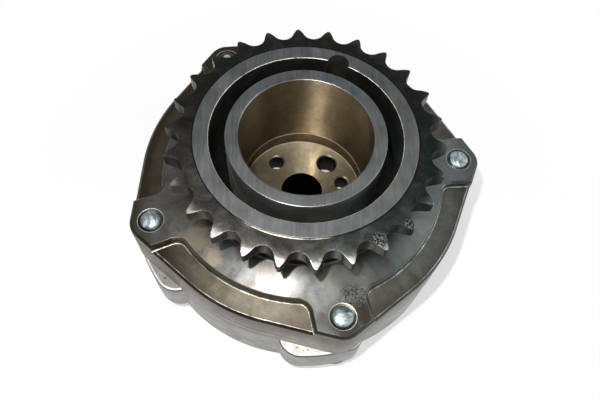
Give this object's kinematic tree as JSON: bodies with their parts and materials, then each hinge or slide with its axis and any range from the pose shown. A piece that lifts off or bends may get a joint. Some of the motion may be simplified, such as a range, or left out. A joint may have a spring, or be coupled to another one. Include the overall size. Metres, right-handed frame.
{
  "type": "vane-type cam phaser",
  "caption": "Hydraulic vane cam phaser: chain sprocket on a raised neck over an eared cover plate, cast stator housing, and a vane rotor with a deep bore for the camshaft nose.",
  "frame": {"origin": "on the phaser's axis, in the plane of the housing's end face that it stands on", "axes": "+Z runs along the axis from the end face to the sprocket's collar; +Y points through the middle of the widest gap between two bolt ears; +X completes the right-handed frame"},
  "size_m": [0.1014, 0.1014, 0.0547],
  "materials": {
    "sintered_steel": "dark sintered steel, ground on the collar's face and polished on the plate",
    "cast_aluminium": "as-cast aluminium with a smooth upper band",
    "hub_steel": "ground hub face and a smooth bore with a bronze-brown tint",
    "seal_plastic": "plain black polymer",
    "spring_steel": "plain spring steel",
    "pin_steel": "hardened and ground steel",
    "zinc_plate": "bluish bright zinc plate"
  },
  "bodies": {
    "housing": {"sprocket_cover": "sintered_steel", "stator_housing": "cast_aluminium", "cover_bolt_1": "zinc_plate", "cover_bolt_2": "zinc_plate", "cover_bolt_3": "zinc_plate", "cover_bolt_4": "zinc_plate", "web_seal_1": "seal_plastic", "web_seal_2": "seal_plastic", "web_seal_3": "seal_plastic", "web_seal_4": "seal_plastic", "web_seal_spring_1": "spring_steel", "web_seal_spring_2": "spring_steel", "web_seal_spring_3": "spring_steel", "web_seal_spring_4": "spring_steel", "lock_bush": "pin_steel"},
    "rotor": {"vane_rotor": "hub_steel", "vane_seal_1": "seal_plastic", "vane_seal_2": "seal_plastic", "vane_seal_3": "seal_plastic", "vane_seal_4": "seal_plastic", "vane_seal_spring_1": "spring_steel", "vane_seal_spring_2": "spring_steel", "vane_seal_spring_3": "spring_steel", "vane_seal_spring_4": "spring_steel", "lock_pin_cap": "pin_steel", "lock_pin_spring": "spring_steel"},
    "pin": {"lock_pin": "pin_steel"}
  },
  "joints": [
    {"name": "rotor_turn", "type": "hinge", "parent": "housing", "child": "rotor", "pos_m": [0, 0, 0.02], "axis": [0, 0, 1], "range_deg": [-12, 12]},
    {"name": "lock_pin_slide", "type": "slide", "parent": "rotor", "child": "pin", "axis": [0, 0, 1], "range_m": [0, 0.0015], "stiffness_N_per_m": 500, "springref_m": -0.006, "deforming": ["lock_pin_spring"]}
  ]
}
